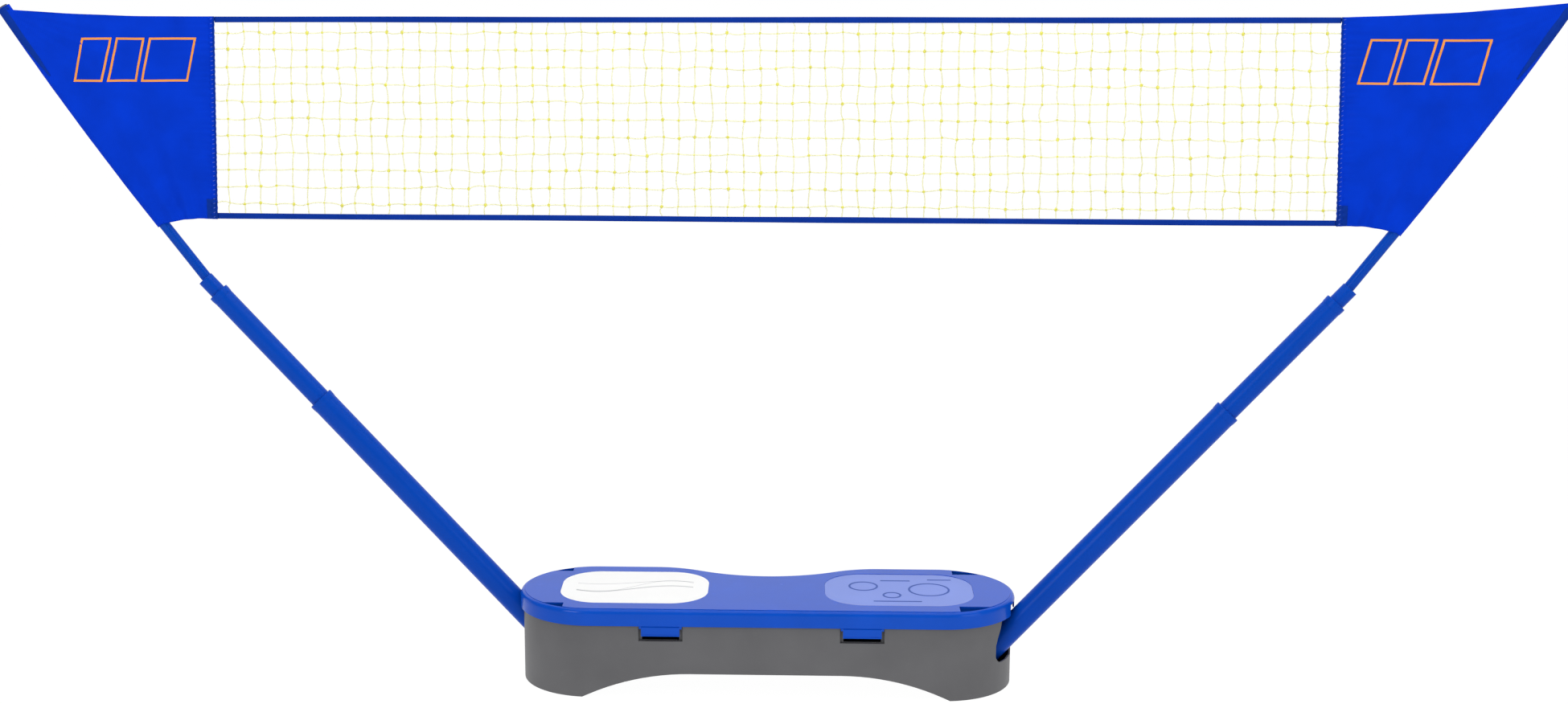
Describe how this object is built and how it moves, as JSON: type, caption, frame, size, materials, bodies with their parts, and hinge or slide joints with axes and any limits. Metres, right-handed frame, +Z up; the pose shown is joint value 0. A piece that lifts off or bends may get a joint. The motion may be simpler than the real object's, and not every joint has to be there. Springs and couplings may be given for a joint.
{
  "type": "volleyball net on poles",
  "caption": "Portable sports net with fabric side panels on two leaning telescopic poles that stand in an arched storage case with a hinged, latched lid.",
  "frame": {"origin": "middle of the bounding box's bottom face, on the ground between the two feet", "axes": "+X along the net towards the right pole as seen from the latches, +Y from the latches to the lid hinges, +Z up"},
  "size_m": [3.0328, 0.308, 1.3618],
  "materials": {
    "case_plastic": "moulded grey plastic with a fine grain",
    "lid_plastic": "moulded blue plastic with a fine grain and a soft sheen",
    "pole_plastic": "extruded blue plastic tube, satin",
    "painted_steel": "blue gloss paint on thin steel tube",
    "inner_plastic": "dark grey moulded plastic",
    "pin_steel": "bright zinc-plated steel",
    "label_vinyl": "blank white vinyl label",
    "pale_panel": "pale blue printed panel",
    "panel_fabric": "royal blue woven polyester",
    "net_tape": "dark blue woven tape",
    "net_cord": "pale yellow knotted cord"
  },
  "bodies": {
    "base": {"base_tub": "case_plastic", "carry_handle": "lid_plastic", "handle_screws": "pin_steel", "hinge_pins": "pin_steel", "left_lower_tube": "pole_plastic", "right_lower_tube": "pole_plastic", "left_lower_collar": "pole_plastic", "right_lower_collar": "pole_plastic", "left_root_plug": "inner_plastic", "right_root_plug": "inner_plastic", "left_root_pin": "pin_steel", "right_root_pin": "pin_steel", "net_mesh": "net_cord", "top_tape": "net_tape", "bottom_tape": "net_tape"},
    "lid": {"lid_shell": "lid_plastic", "label_plate": "label_vinyl", "info_panel": "pale_panel", "latch_pins": "pin_steel"},
    "left_latch": {"left_latch": "lid_plastic"},
    "right_latch": {"right_latch": "lid_plastic"},
    "left_mid": {"left_middle_tube": "pole_plastic", "left_middle_collar": "pole_plastic", "left_middle_bush": "inner_plastic", "left_reducer": "pole_plastic"},
    "left_top": {"left_top_tube": "painted_steel", "left_tip_cap": "inner_plastic", "left_sleeve": "panel_fabric", "left_side_panel": "panel_fabric", "left_hem": "net_tape"},
    "right_mid": {"right_middle_tube": "pole_plastic", "right_middle_collar": "pole_plastic", "right_middle_bush": "inner_plastic", "right_reducer": "pole_plastic"},
    "right_top": {"right_top_tube": "painted_steel", "right_tip_cap": "inner_plastic", "right_sleeve": "panel_fabric", "right_side_panel": "panel_fabric", "right_hem": "net_tape"}
  },
  "joints": [
    {"name": "lid_hinge", "type": "hinge", "parent": "base", "child": "lid", "pos_m": [0, 0.148, 0.146], "axis": [-1, 0, 0], "range_deg": [0, 105]},
    {"name": "left_latch_hinge", "type": "hinge", "parent": "lid", "child": "left_latch", "pos_m": [-0.208, -0.1497, 0.1467], "axis": [-1, 0, 0], "range_deg": [0, 85]},
    {"name": "right_latch_hinge", "type": "hinge", "parent": "lid", "child": "right_latch", "pos_m": [0.19, -0.1497, 0.1467], "axis": [-1, 0, 0], "range_deg": [0, 85]},
    {"name": "left_mid_slide", "type": "slide", "parent": "base", "child": "left_mid", "axis": [0.6743, 0, -0.7385], "range_m": [0, 0.27], "deforming": ["net_mesh", "top_tape", "bottom_tape"]},
    {"name": "left_top_slide", "type": "slide", "parent": "left_mid", "child": "left_top", "axis": [0.6004, 0, -0.7997], "range_m": [0, 0.065]},
    {"name": "right_mid_slide", "type": "slide", "parent": "base", "child": "right_mid", "axis": [-0.6743, 0, -0.7385], "range_m": [0, 0.27]},
    {"name": "right_top_slide", "type": "slide", "parent": "right_mid", "child": "right_top", "axis": [-0.6004, 0, -0.7997], "range_m": [0, 0.065]}
  ]
}
